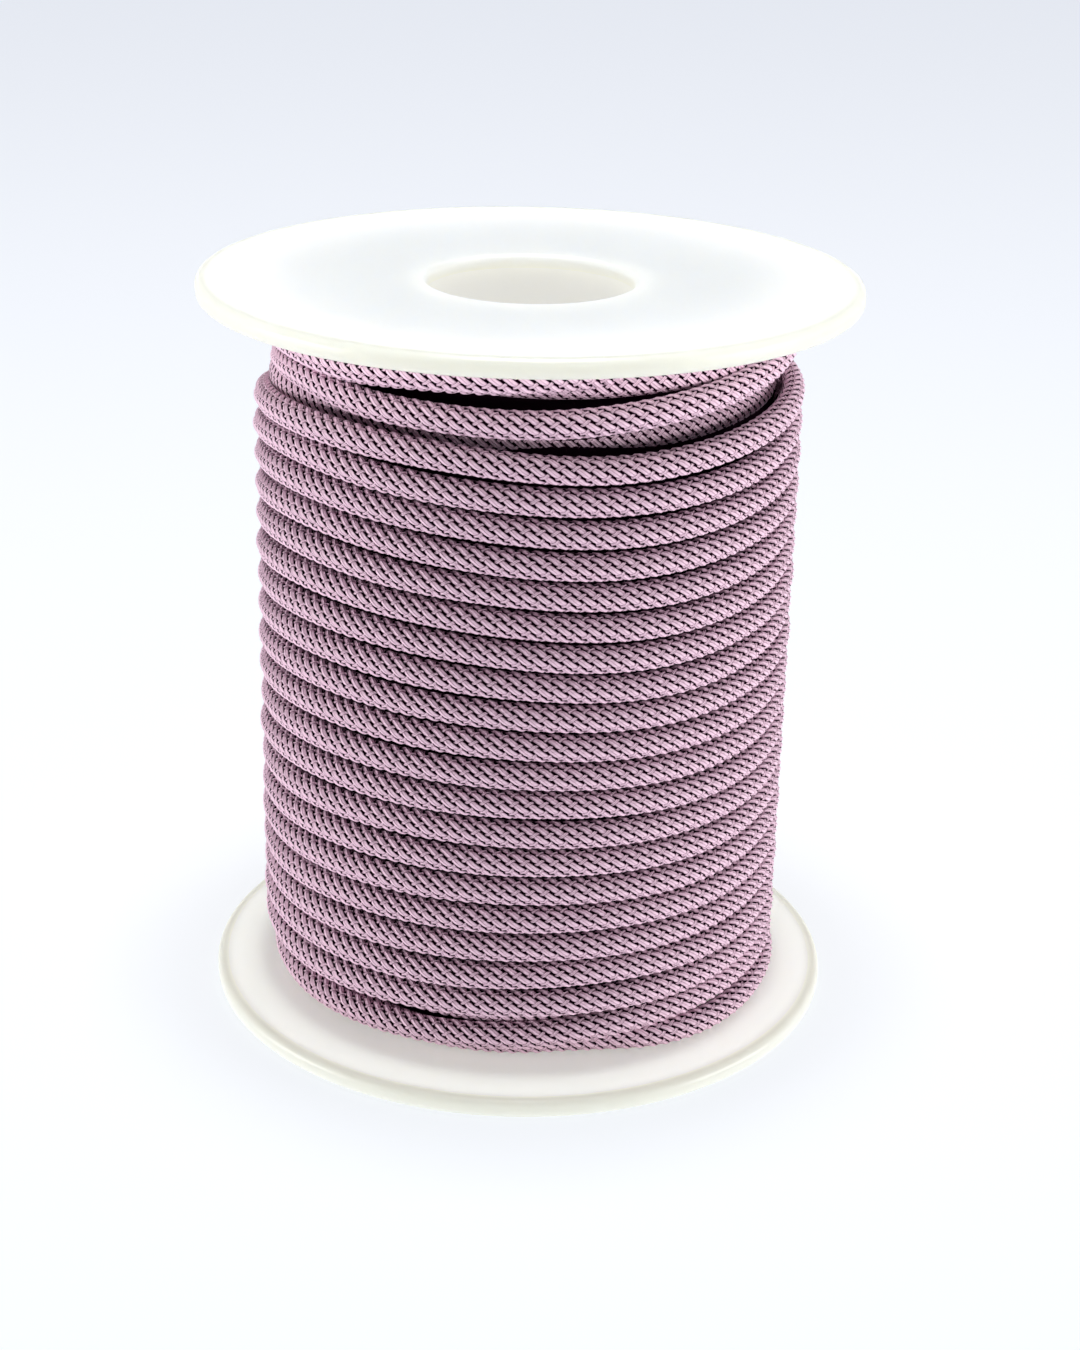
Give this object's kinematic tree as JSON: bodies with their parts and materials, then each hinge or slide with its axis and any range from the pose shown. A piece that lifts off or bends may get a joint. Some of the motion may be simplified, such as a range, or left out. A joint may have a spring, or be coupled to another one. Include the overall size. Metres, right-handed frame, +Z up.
{
  "type": "spool of braided cord",
  "caption": "Round braided cord wound in even turns on a small flanged plastic spool with a through bore, standing on one flange.",
  "frame": {"origin": "middle of the spool's foot, on the surface it stands on", "axes": "+Z up along the spool's bore; the front, where the loose turns show, faces -Y"},
  "size_m": [0.065, 0.065, 0.0756],
  "materials": {
    "cord": "braided satin yarn",
    "barrel_plastic": "smooth milky plastic",
    "flange_plastic": "smooth milky plastic"
  },
  "bodies": {
    "root": {"winding": "cord", "barrel": "barrel_plastic", "flange_bottom": "flange_plastic", "flange_top": "flange_plastic"}
  },
  "joints": []
}
